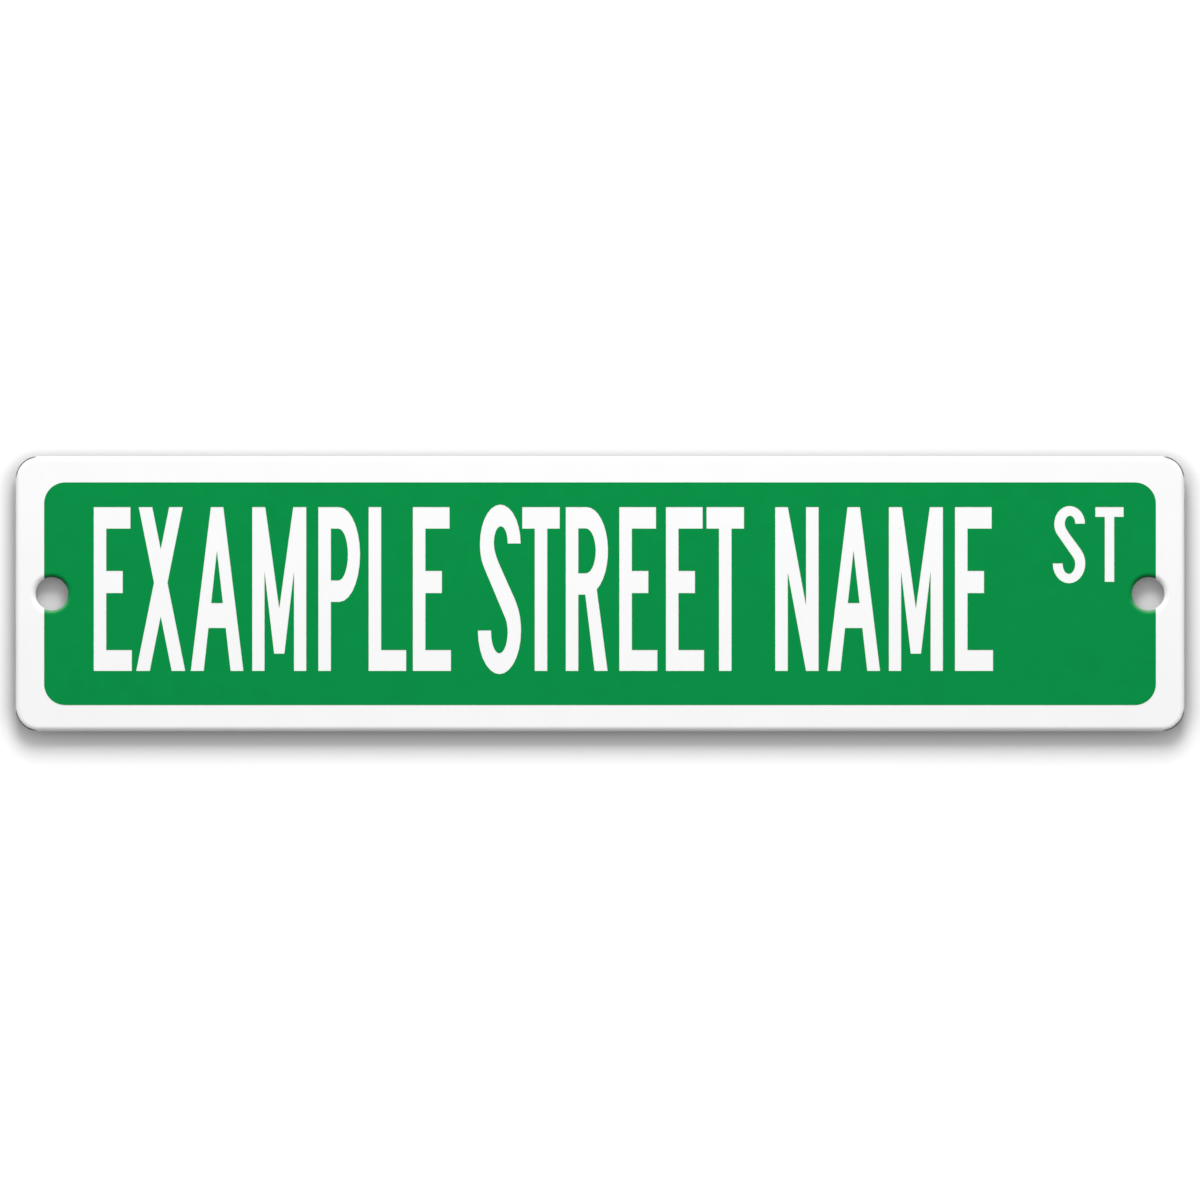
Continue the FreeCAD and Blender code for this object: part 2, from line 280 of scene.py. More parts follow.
def set_line(text, left, right, foot, height, stem):
    """The closed outlines of one line of capitals, in metres. The letters keep their own widths, and the
    length that they leave goes to the spaces between the words, or between the letters of a single word."""
    letters, text = alphabet(), text.strip()
    missing = sorted(set(text) - set(letters) - {" "})
    if missing:
        raise RuntimeError(f"the alphabet has no letter {missing}")
    if not text:
        return []
    pen, places, breaks = -letters[text[0]].before, [], []
    for letter in text:
        if letter == " ":
            breaks.append(len(places))
            continue
        capital = letters[letter]
        pen += capital.before
        places.append((capital, pen))
        pen += capital.width + capital.after
    pen -= capital.after
    breaks = breaks or range(1, len(places))
    spare = ((right - left) / stem - pen) / max(len(breaks), 1)
    scale = np.array([stem, height / STROKES_HIGH])
    outlines = []
    for index, (capital, start) in enumerate(places):
        shift = start + spare * sum(index >= first for first in breaks)
        outlines += [(shape + [shift, 0.0]) * scale + [left, foot] for shape in capital.outlines]
    return outlines


def word_outlines(words):
    """The closed outlines of all the placeholder letters: those of the name, then those of the ending."""
    outlines = []
    for line in ("name", "ending"):
        parts = [f"{line}_{part}" for part in ("text", "left", "right", "foot", "height", "stem")]
        outlines += set_line(*(getattr(words, part) for part in parts))
    return outlines


def rounded_rectangle(length, height, radius):
    """A closed path round a rectangle with round corners, anticlockwise as seen from the front, and the unit
    normals that point out of it. On a corner a point is its centre plus the radius times the normal."""
    reach = np.array([length / 2 - radius, height / 2 - radius])
    angle = np.radians(np.linspace(0, 90, CORNER_STEPS + 1) + np.array([[-90], [0], [90], [180]]))
    normals = np.stack([np.cos(angle), np.sin(angle)], 2)
    centres = reach * np.array([[1, -1], [1, 1], [-1, 1], [-1, -1]])[:, None, :]
    return (centres + radius * normals).reshape(-1, 2), normals.reshape(-1, 2)


def ring(centre, radius):
    """A closed circle, clockwise as seen from the front, and unit normals that point to its centre: the way
    out of the sheet at a hole's edge."""
    angle = -np.linspace(0, 2 * np.pi, HOLE_STEPS, endpoint=False)
    away = np.stack([np.cos(angle), np.sin(angle)], 1)
    return np.asarray(centre) + radius * away, -away


def edge_profile(sizes):
    """The sheet's edge from the front face to the back face: how far each point lies inside the outline, its
    place along Y, and the angle a by which its normal leans. The front is a quarter circle of the rolled
    radius R, inset R (1 - sin a) and depth R (1 - cos a), then comes the straight wall, then the same at the
    back with the smaller radius."""
    rolled, broken, gauge = sizes.rolled_edge, sizes.back_break, sizes.plate_gauge
    front = np.linspace(0, np.pi / 2, ROUND_STEPS + 1)
    back = np.linspace(np.pi / 2, np.pi, ROUND_STEPS // 2 + 1)
    inset = np.concatenate([rolled * (1 - np.sin(front)), broken * (1 - np.sin(back))])
    depth = np.concatenate([-gauge + rolled * (1 - np.cos(front)), -broken * (1 + np.cos(back))])
    return inset, depth, np.concatenate([front, back])


def carry(path, normals, profile):
    """Carries the edge profile along a closed path. A point is the path's point moved in by the inset, at the
    profile's depth, and its normal is the path's normal times sin a plus the front direction times cos a."""
    inset, depth, lean = profile
    flat = path[:, None, :] - inset[None, :, None] * normals[:, None, :]
    points = np.stack([flat[..., 0], np.broadcast_to(depth, flat.shape[:2]), flat[..., 1]], 2)
    out = np.stack([normals[:, 0], np.zeros(len(normals)), normals[:, 1]], 1)
    leaning = out[:, None, :] * np.sin(lean)[None, :, None] + FRONT * np.cos(lean)[None, :, None]
    return points, leaning


def grid_faces(rows, columns, closed):
    """Quads of a grid whose points are numbered row by row. When closed, the last row joins the first."""
    row = np.arange(rows if closed else rows - 1)[:, None]
    column = np.arange(columns - 1)[None, :]
    here, there = row * columns, ((row + 1) % rows) * columns
    return np.stack([here + column, there + column, there + column + 1, here + column + 1], 2).reshape(-1, 4)


def fill(loops):
    """Triangles that fill the flat region between closed outlines, by the even-odd rule: a triangle stays
    where a line from its middle crosses the outlines an odd number of times. A corner is given by its number
    among all the outlines' points. The triangles run anticlockwise as seen from the front."""
    points = np.vstack(loops)
    starts = np.cumsum([0] + [len(one) for one in loops[:-1]])
    ahead = np.concatenate([start + np.roll(np.arange(len(one)), -1) for start, one in zip(starts, loops)])
    edges = np.stack([np.arange(len(points)), ahead], 1)
    made, _, faces, origin, _, _ = delaunay_2d_cdt(points.tolist(), edges.tolist(), [], 0, WELD)
    if len(made) != len(points):
        raise RuntimeError("two outlines cross or touch")
    faces = np.array(origin)[:, 0][np.array(faces)]
    corners = points[faces]
    middle = corners.mean(axis=1)
    a, b = points[edges[:, 0]], points[edges[:, 1]]
    spans = (a[:, 1] > middle[:, 1:2]) != (b[:, 1] > middle[:, 1:2])
    rise = np.where(a[:, 1] == b[:, 1], 1.0, b[:, 1] - a[:, 1])
    meets = a[:, 0] + (b[:, 0] - a[:, 0]) * (middle[:, 1:2] - a[:, 1]) / rise
    kept = (spans & (middle[:, :1] < meets)).sum(axis=1) % 2 == 1
    faces, corners = faces[kept], corners[kept]
    one, two = corners[:, 1] - corners[:, 0], corners[:, 2] - corners[:, 0]
    turned = one[:, 0] * two[:, 1] < one[:, 1] * two[:, 0]
    return np.where(turned[:, None], faces[:, ::-1], faces)


def plate_surface(sizes):
    """The whole sheet: the edge profile carried round the outline and round both holes, and a flat cap
    between them at the front and at the back. Gives the points, the groups of faces, a normal for each face
    corner, and the number of each face's material, which is 1 on the back cap and 0 elsewhere."""
    profile = edge_profile(sizes)
    columns = len(profile[0])
    paths = [rounded_rectangle(sizes.plate_length, sizes.plate_height, sizes.corner_radius)]
    paths += [ring((side * sizes.hole_spacing / 2, 0.0), sizes.hole_radius) for side in (-1, 1)]
    points, normals, quads, starts = [], [], [], []
    total = 0
    for path, out in paths:
        placed, leaning = carry(path, out, profile)
        starts.append(total + columns * np.arange(len(path)))
        quads.append(total + grid_faces(len(path), columns, closed=True)[:, ::-1])
        points.append(placed.reshape(-1, 3))
        normals.append(leaning.reshape(-1, 3))
        total += columns * len(path)
    points, normals, quads = np.vstack(points), np.vstack(normals), np.vstack(quads)
    rims = np.concatenate(starts)
    caps = []
    for column, flipped in ((0, False), (columns - 1, True)):
        flat = [points[start + column][:, [0, 2]] for start in starts]
        triangles = (rims + column)[fill(flat)]
        caps.append(triangles[:, ::-1] if flipped else triangles)
    groups = [quads, *caps]
    corners = normals[np.concatenate([group.ravel() for group in groups])]
    return points, groups, corners, np.repeat([0, 0, 1], [len(group) for group in groups])


def field_outline(sizes, mouth):
    """The green field's outline: a rectangle with round corners whose ends are bitten by the holes' mouths.
    The right half runs from the bottom corner to the top one, and the left half is its half turn. Gives also
    the number of the point at which the right mouth starts."""
    radius = sizes.field_corner
    reach = np.array([sizes.field_length / 2 - radius, sizes.field_height / 2 - radius])
    low = arc(reach * [1, -1], (radius, radius), -90, 0, CORNER_STEPS)
    high = arc(reach, (radius, radius), 0, 90, CORNER_STEPS)
    right = np.vstack([low, mouth, high])
    return np.vstack([right, -right]), len(low)


def film_lip(sizes):
    """The film over the right hole's rolled edge, on a grid of (a, b). With R the radius of the film's front
    over the roll, the ring's radius is the mouth's less R sin a, for a from 0 to the wrap, and its depth goes
    with R cos a. Along a ring, b runs between the two points where the ring meets the field's end."""
    rolled = sizes.rolled_edge + sizes.film_gauge
    mouth = sizes.hole_radius + sizes.rolled_edge
    wrap = np.linspace(0, sizes.lip_wrap, ROUND_STEPS + 1)[:, None]
    radius = mouth - rolled * np.sin(wrap)
    end = sizes.field_length / 2 - sizes.hole_spacing / 2
    around = np.linspace(-1, 1, MOUTH_STEPS + 1)[None, :] * np.arccos(-end / radius)
    away = np.stack([-np.cos(around), np.zeros_like(around), np.sin(around)], 2)
    points = radius[..., None] * away
    points[..., 0] += sizes.hole_spacing / 2
    points[..., 1] = sizes.rolled_edge - sizes.plate_gauge - rolled * np.cos(wrap)
    normals = FRONT * np.cos(wrap)[..., None] - away * np.sin(wrap)[..., None]
    return points, normals


def film_front(sizes, words):
    """The front of the film: the flat field, filled between its outline and the letters, and a lip down into
    each hole, the left one the half turn of the right one. Gives the points, a normal for each, the field's
    triangles and the lips' quads."""
    lip, lip_normals = film_lip(sizes)
    outline, mouth = field_outline(sizes, lip[0][:, [0, 2]])
    loops = [outline, *word_outlines(words)]
    flat = np.vstack(loops)
    depth = np.full(len(flat), -sizes.plate_gauge - sizes.film_gauge)
    points = [np.stack([flat[:, 0], depth, flat[:, 1]], 1)]
    normals = [np.broadcast_to(FRONT, (len(flat), 3))]
    quads, total = [], len(flat)
    rows, columns = lip.shape[:2]
    for side, start in ((1, mouth), (-1, mouth + len(outline) // 2)):
        turn = np.array([side, 1, side])
        points.append((lip[1:] * turn).reshape(-1, 3))
        normals.append((lip_normals[1:] * turn).reshape(-1, 3))
        below = total + np.arange((rows - 1) * columns)
        numbers = np.concatenate([start + np.arange(columns), below])
        quads.append(numbers[grid_faces(rows, columns, closed=False)])
        total += len(below)
    return np.vstack(points), np.vstack(normals), [fill(loops), np.vstack(quads)]


def thicken(points, normals, groups, gauge):
    """A closed film of even thickness from its front: the back is the front moved in along the normals by the
    gauge, and a wall runs along every edge that only one face has. Gives the points, the groups of faces and
    a normal for each face corner, which on a wall is square to the wall."""
    edges = [np.stack([group, np.roll(group, -1, axis=1)], 2).reshape(-1, 2) for group in groups]
    edges = np.concatenate(edges)
    count = len(points)
    forth, back = edges[:, 0] * count + edges[:, 1], edges[:, 1] * count + edges[:, 0]
    rim = edges[~np.isin(forth, back)]
    walls = np.stack([rim[:, 1], rim[:, 0], rim[:, 0] + count, rim[:, 1] + count], 1)
    points = np.vstack([points, points - gauge * normals])
    along, down = points[walls[:, 1]] - points[walls[:, 0]], points[walls[:, 3]] - points[walls[:, 0]]
    sideways = np.cross(along, down)
    sideways /= np.linalg.norm(sideways, axis=1, keepdims=True)
    both = np.vstack([normals, -normals])
    sheets = [*groups, *(group[:, ::-1] + count for group in groups)]
    corners = np.vstack([*(both[group.ravel()] for group in sheets), np.repeat(sideways, 4, axis=0)])
    return points, [*sheets, walls], corners


def add_object(name, data):
    """A new object at the scene's origin."""
    added = bpy.data.objects.new(name, data)
    bpy.context.scene.collection.objects.link(added)
    return added


def make_piece(name, materials, points, groups, normals=None, numbers=None):
    """A finished piece at the origin from points, groups of faces, a normal for each face corner and the
    number of each face's material."""
    mesh = bpy.data.meshes.new(name)
    mesh.from_pydata(points.tolist(), [], [face for group in groups for face in group.tolist()])
    for material in materials:
        mesh.materials.append(material)
    if numbers is not None:
        mesh.polygons.foreach_set("material_index", numbers)
    mesh.polygons.foreach_set("use_smooth", np.ones(len(mesh.polygons), bool))
    if mesh.validate(verbose=False):
        raise RuntimeError(f"{name} has faces that are not sound")
    mesh.update()
    if normals is not None:
        mesh.normals_split_custom_set(normals.tolist())
    return add_object(name, mesh)


def feed(tree, socket, value):
    """Gives a socket another node's output or a plain value. A plain colour has three parts."""
    if isinstance(value, bpy.types.NodeSocket):
        tree.links.new(value, socket)
    elif socket.type == "RGBA":
        socket.default_value = (*value, 1.0)
    else:
        socket.default_value = value


def wire(tree, kind, *values, settings=(), **inputs):
    """Adds a shader node. Values go to its sockets in their order, and named inputs to the sockets that have
    those names, with _ for a space. Settings are the node's own, such as its operation."""
    node = tree.nodes.new("ShaderNode" + kind)
    for key, value in dict(settings).items():
        setattr(node, key, value)
    for socket, value in zip(node.inputs, values):
        feed(tree, socket, value)
    for key, value in inputs.items():
        feed(tree, node.inputs[key.replace("_", " ")], value)
    return node


def maths(tree, operation, *values):
    """The output of a Math node over values or outputs."""
    return wire(tree, "Math", *values, settings={"operation": operation}).outputs[0]


def product(tree, first, *others):
    """All the values or outputs multiplied."""
    for other in others:
        first = maths(tree, "MULTIPLY", first, other)
    return first


def spread(tree, value, low, high, to_low=0.0, to_high=1.0, smooth=False):
    """Carries the range low to high of a value over to another range."""
    settings = {"interpolation_type": "SMOOTHSTEP" if smooth else "LINEAR"}
    return wire(tree, "MapRange", value, low, high, to_low, to_high, settings=settings).outputs["Result"]


def blend(tree, share, first, second, kind="RGBA"):
    """The first colour where share is 0 and the second where it is 1, or with FLOAT the same for numbers."""
    node = wire(tree, "Mix", settings={"data_type": kind})
    *places, result = MIX_SOCKETS[kind]
    for place, value in zip(places, (share, first, second)):
        feed(tree, node.inputs[place], value)
    return node.outputs[result]


def scaled(tint, factor):
    """A colour with each part multiplied by the factor."""
    return tuple(factor * part for part in tint)


def lay_over(tree, base, tint, mask, most):
    """Lays a tint over a base colour where the mask is, and by no more than most."""
    return blend(tree, maths(tree, "MULTIPLY", mask, most), base, tint)


def dulled(tree, roughness, mask, most):
    """Adds to a roughness where the mask is, and no more than most."""
    return maths(tree, "MULTIPLY_ADD", mask, most, roughness)


def bump(tree, height, strength, metres):
    """Normals of a surface that rises by that many metres where the height is 1."""
    return wire(tree, "Bump", Strength=strength, Distance=metres, Height=height).outputs["Normal"]


def noise(tree, place, scale, detail=2.0, roughness=0.5):
    """Soft noise from 0 to 1 whose features are about 1/scale metres wide. A scale of three parts gives each
    axis its own."""
    if isinstance(scale, tuple):
        place, scale = wire(tree, "Mapping", Vector=place, Scale=scale).outputs["Vector"], 1.0
    node = wire(tree, "TexNoise", Vector=place, Scale=scale, Detail=detail, Roughness=roughness)
    return node.outputs["Fac"]


def effect_group(name, inputs, outputs, build):
    """A named shader node group, built once. It takes a Vector and the named inputs, each of which has a
    number or a colour as its default. Build makes its nodes and says what each named output gives out."""
    found = bpy.data.node_groups.get(name)
    if found:
        return found
    tree = bpy.data.node_groups.new(name, "ShaderNodeTree")
    tree.interface.new_socket(name="Vector", in_out="INPUT", socket_type=VECTOR)
    for label, default in inputs.items():
        kind = NUMBER if isinstance(default, float) else COLOUR
        tree.interface.new_socket(name=label, in_out="INPUT", socket_type=kind).default_value = default
    for label, kind in outputs.items():
        tree.interface.new_socket(name=label, in_out="OUTPUT", socket_type=kind)
    arrives = tree.nodes.new("NodeGroupInput")
    leaves = tree.nodes.new("NodeGroupOutput")
    for label, value in build(tree, arrives.outputs).items():
        feed(tree, leaves.inputs[label], value)
    return tree


def use_group(tree, group, **inputs):
    """Places a group in a material with that material's own values."""
    return wire(tree, "Group", settings={"node_tree": group}, **inputs).outputs


def orange_peel():
    """Cured coats and films are never flat: fine peel about a millimetre across over long slow waves, with a
    faint change of tone."""

    def build(tree, given):
        wave_share = 0.65
        place = given["Vector"]
        fine = noise(tree, place, given["Peel Scale"], detail=2.0, roughness=0.45)
        slow = noise(tree, place, given["Wave Scale"], detail=1.0, roughness=0.4)
        patches = noise(tree, place, given["Tone Scale"], detail=4.0, roughness=0.6)
        return {
            "Height": blend(tree, wave_share, fine, slow, kind="FLOAT"),
            "Tone": spread(tree, patches, *MIDDLE, smooth=True),
        }

    scales = {"Peel Scale": 900.0, "Wave Scale": 120.0, "Tone Scale": 60.0}
    return effect_group("Orange Peel", scales, {"Height": NUMBER, "Tone": NUMBER}, build)


def handling_marks():
    """Faint dust specks and wiping smears from handling, as one mask each."""

    def build(tree, given):
        speck_range, smear_range = (0.78, 0.84), (0.26, 0.44)
        place = given["Vector"]
        dust = noise(tree, place, given["Speck Scale"], detail=1.0, roughness=0.3)
        cloud = noise(tree, place, 18.0, detail=3.0, roughness=0.6)
        streaks = noise(tree, place, (40.0, 40.0, 260.0), detail=3.0, roughness=0.65)
        return {
            "Specks": spread(tree, dust, *speck_range, smooth=True),
            "Smears": spread(tree, product(tree, cloud, streaks), *smear_range, smooth=True),
        }

    return effect_group("Handling Marks", {"Speck Scale": 700.0}, {"Specks": NUMBER, "Smears": NUMBER}, build)


def mill_finish():
    """Rolled sheet as it comes from the mill: fine long streaks along X over broad pale bands, with a few
    short deeper scores."""

    def build(tree, given):
        band_share, score_range = 0.45, (0.72, 0.8)
        darkest, roughness_range = (0.74, 0.74, 0.75), (0.3, 0.42)
        place = given["Vector"]
        fine = noise(tree, place, (30.0, 2600.0, 2600.0), detail=3.0, roughness=0.7)
        broad = noise(tree, place, (3.0, 170.0, 170.0))
        scores = noise(tree, place, (90.0, 5200.0, 5200.0), detail=1.0)
        deep = spread(tree, scores, *score_range, smooth=True)
        tone = blend(tree, band_share, fine, broad, kind="FLOAT")
        shade = blend(tree, spread(tree, tone, *MIDDLE), darkest, WHITE)
        tinted = wire(tree, "VectorMath", given["Metal Colour"], shade, settings={"operation": "MULTIPLY"})
        return {
            "Colour": tinted.outputs[0],
            "Roughness": dulled(tree, spread(tree, tone, *MIDDLE, *roughness_range), mask=deep, most=0.15),
            "Height": maths(tree, "SUBTRACT", fine, deep),
        }

    outputs = {"Colour": COLOUR, "Roughness": NUMBER, "Height": NUMBER}
    return effect_group("Mill Finish", {"Metal Colour": (0.8, 0.8, 0.8, 1.0)}, outputs, build)


def new_material(name):
    """A new material, its empty tree, and Object coordinates in it."""
    material = bpy.data.materials.new(name)
    material.use_nodes = True
    tree = material.node_tree
    tree.nodes.clear()
    return material, tree, wire(tree, "TexCoord").outputs["Object"]


def bare_metal(colours):
    """Material of the sheet's back: mill finish under faint handling marks."""
    soiled = (0.42, 0.42, 0.42)
    material, tree, place = new_material("Bare sheet")
    finish = use_group(tree, mill_finish(), Vector=place, Metal_Colour=colours.metal)
    smears = use_group(tree, handling_marks(), Vector=place, Speck_Scale=420.0)["Smears"]
    shader = wire(
        tree,
        "BsdfPrincipled",
        Base_Color=lay_over(tree, finish["Colour"], tint=soiled, mask=smears, most=0.18),
        Metallic=1.0,
        Roughness=dulled(tree, finish["Roughness"], mask=smears, most=0.12),
        Normal=bump(tree, finish["Height"], strength=0.25, metres=0.00003),
    )
    wire(tree, "OutputMaterial", Surface=shader.outputs[0])
    return material


def corner_shade_line(tree, place, sizes):
    """Mask of a narrow dark line painted low on the rolled edge of the sheet's four corners: painted shade
    along the edge. Its depths count from the front face, and it fades in over the first stretch of each bend."""
    darkens, fades = (0.0005, 0.0008), (0.0021, 0.0016)
    waver, before_bend, into_bend = 0.00008, 0.0004, 0.0022
    axes = wire(tree, "SeparateXYZ", place).outputs
    wavering = spread(tree, noise(tree, place, 300.0), *MIDDLE, -waver, waver)
    depth = maths(tree, "ADD", maths(tree, "ADD", axes["Y"], sizes.plate_gauge), wavering)
    masks = [spread(tree, depth, *band, smooth=True) for band in (darkens, fades)]
    for axis, reach in (("X", sizes.plate_length / 2), ("Z", sizes.plate_height / 2)):
        along = maths(tree, "SUBTRACT", maths(tree, "ABSOLUTE", axes[axis]), reach - sizes.corner_radius)
        masks.append(spread(tree, along, -before_bend, into_bend, smooth=True))
    return product(tree, *masks)


def white_coat(colours, sizes):
    """Material of the sheet's front and edges: a satin white coat with orange peel, which stops in a slightly
    ragged line just before the back edge and leaves the bare metal behind it."""
    # shade_line_tint is the colour of the painted dark shade line on the corners
    shade_line_tint, dust, roughness_range = (0.035, 0.035, 0.038), (0.5, 0.49, 0.47), (0.3, 0.34)
    most_ragged, bare_range = 0.0005, (-1.6 * sizes.back_break, -1.2 * sizes.back_break)
    material, tree, place = new_material("White coat")
    peel = use_group(tree, orange_peel(), Vector=place, Peel_Scale=950.0, Wave_Scale=110.0, Tone_Scale=45.0)
    marks = use_group(tree, handling_marks(), Vector=place, Speck_Scale=600.0)
    finish = use_group(tree, mill_finish(), Vector=place, Metal_Colour=colours.metal)
    ragged = product(tree, noise(tree, place, 700.0, detail=3.0, roughness=0.6), most_ragged)
    depth = maths(tree, "ADD", wire(tree, "SeparateXYZ", place).outputs["Y"], ragged)
    bare = spread(tree, depth, *bare_range)
    coat = lay_over(tree, colours.coat, tint=scaled(colours.coat, 0.965), mask=peel["Tone"], most=0.35)
    # painted shade: a narrow dark line low on each corner's rolled edge
    coat = lay_over(tree, coat, tint=shade_line_tint, mask=corner_shade_line(tree, place, sizes), most=1.0)
    coat = lay_over(tree, coat, tint=dust, mask=marks["Specks"], most=0.3)
    satin = blend(tree, peel["Tone"], *roughness_range, kind="FLOAT")
    satin = dulled(tree, satin, mask=marks["Smears"], most=0.08)
    shader = wire(
        tree,
        "BsdfPrincipled",
        Base_Color=blend(tree, bare, coat, finish["Colour"]),
        Metallic=bare,
        Roughness=blend(tree, bare, satin, finish["Roughness"], kind="FLOAT"),
        Specular_IOR_Level=0.2,
        Normal=bump(tree, peel["Height"], strength=0.18, metres=0.00012),
    )
    wire(tree, "OutputMaterial", Surface=shader.outputs[0])
    return material


def lip_shade_and_highlight(tree, place, sizes):
    """Masks of painted light on the film's lips in the two holes: painted shade on the upper part, under the
    rim, and a painted highlight on the lower part. Each grows with the depth into the hole and with the
    height above or below its middle."""
    full_depth, starts, full = 0.0006, 0.001, 0.005
    axes = wire(tree, "SeparateXYZ", place).outputs
    front = -sizes.plate_gauge
    lip = spread(tree, axes["Y"], front, front + full_depth)
    halves = [spread(tree, axes["Z"], way * starts, way * full, smooth=True) for way in (1, -1)]
    return [product(tree, lip, half) for half in halves]


def green_film(colours, sizes):
    """Material of the green field: an even ink film, satin, with a faint mottle and slow waves."""
    # lip_shade_tint is the dark green of the painted shade on the upper lips
    lip_shade_tint, dust, roughness_range = (0.0, 0.03, 0.01), (0.1, 0.36, 0.16), (0.36, 0.42)
    material, tree, place = new_material("Green film")
    peel = use_group(tree, orange_peel(), Vector=place, Peel_Scale=1300.0, Wave_Scale=90.0, Tone_Scale=130.0)
    marks = use_group(tree, handling_marks(), Vector=place, Speck_Scale=600.0)
    # painted shade on the upper lips and a painted highlight on the lower lips in the holes
    lip_shade, lip_highlight = lip_shade_and_highlight(tree, place, sizes)
    green = blend(tree, peel["Tone"], scaled(colours.film, 0.98), scaled(colours.film, 1.02))
    green = lay_over(tree, green, tint=lip_shade_tint, mask=lip_shade, most=0.75)
    # painted highlight: the lower lips are paled towards the white coat
    green = lay_over(tree, green, tint=colours.coat, mask=lip_highlight, most=0.16)
    green = lay_over(tree, green, tint=dust, mask=marks["Specks"], most=0.15)
    satin = blend(tree, peel["Tone"], *roughness_range, kind="FLOAT")
    shader = wire(
        tree,
        "BsdfPrincipled",
        Base_Color=green,
        Roughness=dulled(tree, satin, mask=marks["Smears"], most=0.06),
        Specular_IOR_Level=0.06,
        Normal=bump(tree, peel["Height"], strength=0.15, metres=0.0001),
    )
    wire(tree, "OutputMaterial", Surface=shader.outputs[0])
    return material


def pale_tint(tree, place, tint):
    """A stage board's colour with a trace of unevenness."""
    patch_range, darkest = (0.2, 0.8), scaled(tint, 0.985)
    return blend(tree, spread(tree, noise(tree, place, 3.0), *patch_range), darkest, tint)


def background_rays(tree):
    """1 for the rays that show the background: those of the camera, of mirrors and of glass."""
    rays = wire(tree, "LightPath").outputs
    mirrored = maths(tree, "MAXIMUM", rays["Is Glossy Ray"], rays["Is Transmission Ray"])
    return maths(tree, "MAXIMUM", rays["Is Camera Ray"], mirrored)


def finish_board(tree, tint, glow, clear):
    """Ends a stage board's material: a matt board that adds light of its own for the rays that show the
    background, and that isn't there at all where clear is 1."""
    board = wire(
        tree,
        "BsdfPrincipled",
        Base_Color=tint,
        Roughness=0.9,
        Specular_IOR_Level=0.0,
        Emission_Color=WHITE,
        Emission_Strength=product(tree, background_rays(tree), glow),
    )
    sides = wire(tree, "MixShader", clear, board.outputs[0], wire(tree, "BsdfTransparent").outputs[0])
    wire(tree, "OutputMaterial", Surface=sides.outputs[0])


def floor_board(colours, studio):
    """Material of the floor: a plain board, clear from below. Far from the sign it adds so much light of its
    own that it fades into the white room, and the fade is done just before its rim."""
    fade_starts, fade_ends = 0.57 * studio.floor_reach, 0.95 * studio.floor_reach
    material, tree, place = new_material("Floor board")
    away = wire(tree, "VectorMath", place, settings={"operation": "LENGTH"}).outputs["Value"]
    glow = spread(tree, away, fade_starts, fade_ends, studio.floor_glow, 1.0, smooth=True)
    below = wire(tree, "NewGeometry").outputs["Backfacing"]
    finish_board(tree, pale_tint(tree, place, colours.floor), glow, below)
    return material


def outside_sign(tree, axes, sizes, drop):
    """How far a point of the backdrop lies outside the sign's outline, with the outline's top taken as lower
    by the drop. With q the distance from the outline's middle less its straight half, along X and along Z,
    this is the length of the parts of q above 0, plus the larger q where both are below 0, less the corner
    radius."""
    parts = []
    for axis, middle, size in (("X", 0.0, sizes.plate_length), ("Z", -drop / 2, sizes.plate_height - drop)):
        from_middle = maths(tree, "ABSOLUTE", maths(tree, "SUBTRACT", axes[axis], middle))
        parts.append(maths(tree, "SUBTRACT", from_middle, size / 2 - sizes.corner_radius))
    squares = [maths(tree, "POWER", maths(tree, "MAXIMUM", part, 0.0), 2.0) for part in parts]
    beyond = maths(tree, "SQRT", maths(tree, "ADD", *squares))
    within = maths(tree, "MINIMUM", maths(tree, "MAXIMUM", *parts), 0.0)
    return maths(tree, "SUBTRACT", maths(tree, "ADD", beyond, within), sizes.corner_radius)


def backdrop_board(colours, sizes, studio):
    """Material of the backdrop. It is clear from behind and edge on, so that the sign shows from every side,
    and clear to the first ray that leaves what the camera sees, so that the room lights the sign's back. It
    throws little light back under the sign and is darker close round it, and less so below it, which keeps
    the sign's shadow deep. Past the shadow it adds a little light of its own, so that it is white there, and
    more further out. The shade and the glows change over ranges of metres outside the sign's outline."""
    shade_inner, shade_outer, foot_band = -0.0065, 0.008, 0.01
    glow_band, far_band = (0.004, 0.015), (0.05, 0.55)
    dim, edge_on = (0.15, 0.15, 0.15), (0.85, 0.95)
    material, tree, place = new_material("Backdrop board")
    rays = wire(tree, "LightPath").outputs
    axes = wire(tree, "SeparateXYZ", place).outputs
    away = outside_sign(tree, axes, sizes, studio.wall_shade_drop)
    foot = -sizes.plate_height / 2
    shade = product(
        tree,
        spread(tree, away, 0.0, shade_outer, studio.wall_shade, 0.0, smooth=True),
        spread(tree, away, shade_inner, 0.0, smooth=True),
        spread(tree, axes["Z"], foot, foot + foot_band, studio.wall_shade_foot, 1.0),
    )
    tint = blend(tree, shade, pale_tint(tree, place, colours.wall), BLACK)
    glow = spread(tree, away, *glow_band, 0.0, studio.wall_glow, smooth=True)
    glow = maths(tree, "ADD", glow, spread(tree, away, *far_band, 0.0, studio.wall_far_glow))
    first = maths(tree, "COMPARE", rays["Ray Depth"], 1.0, 0.5)  # a depth within 0.5 of 1
    clear = maths(tree, "MAXIMUM", first, wire(tree, "NewGeometry").outputs["Backfacing"])
    slanting = spread(tree, wire(tree, "LayerWeight", Blend=0.5).outputs["Facing"], *edge_on, smooth=True)
    clear = maths(tree, "MAXIMUM", clear, product(tree, slanting, rays["Is Camera Ray"]))
    finish_board(tree, blend(tree, rays["Is Camera Ray"], dim, tint), glow, clear)
    return material


def flat_board(name, corner, one, two, material):
    """A flat stage board on a grid of two parameters: its first corner plus u and v times its two sides."""
    ticks = np.linspace(0.0, 1.0, BOARD_STEPS + 1)
    u, v = (part.reshape(-1, 1) for part in np.meshgrid(ticks, ticks, indexing="ij"))
    faces = grid_faces(len(ticks), len(ticks), closed=False)
    board = make_piece(name, [material], np.array(corner) + u * np.array(one) + v * np.array(two), [faces])
    return board


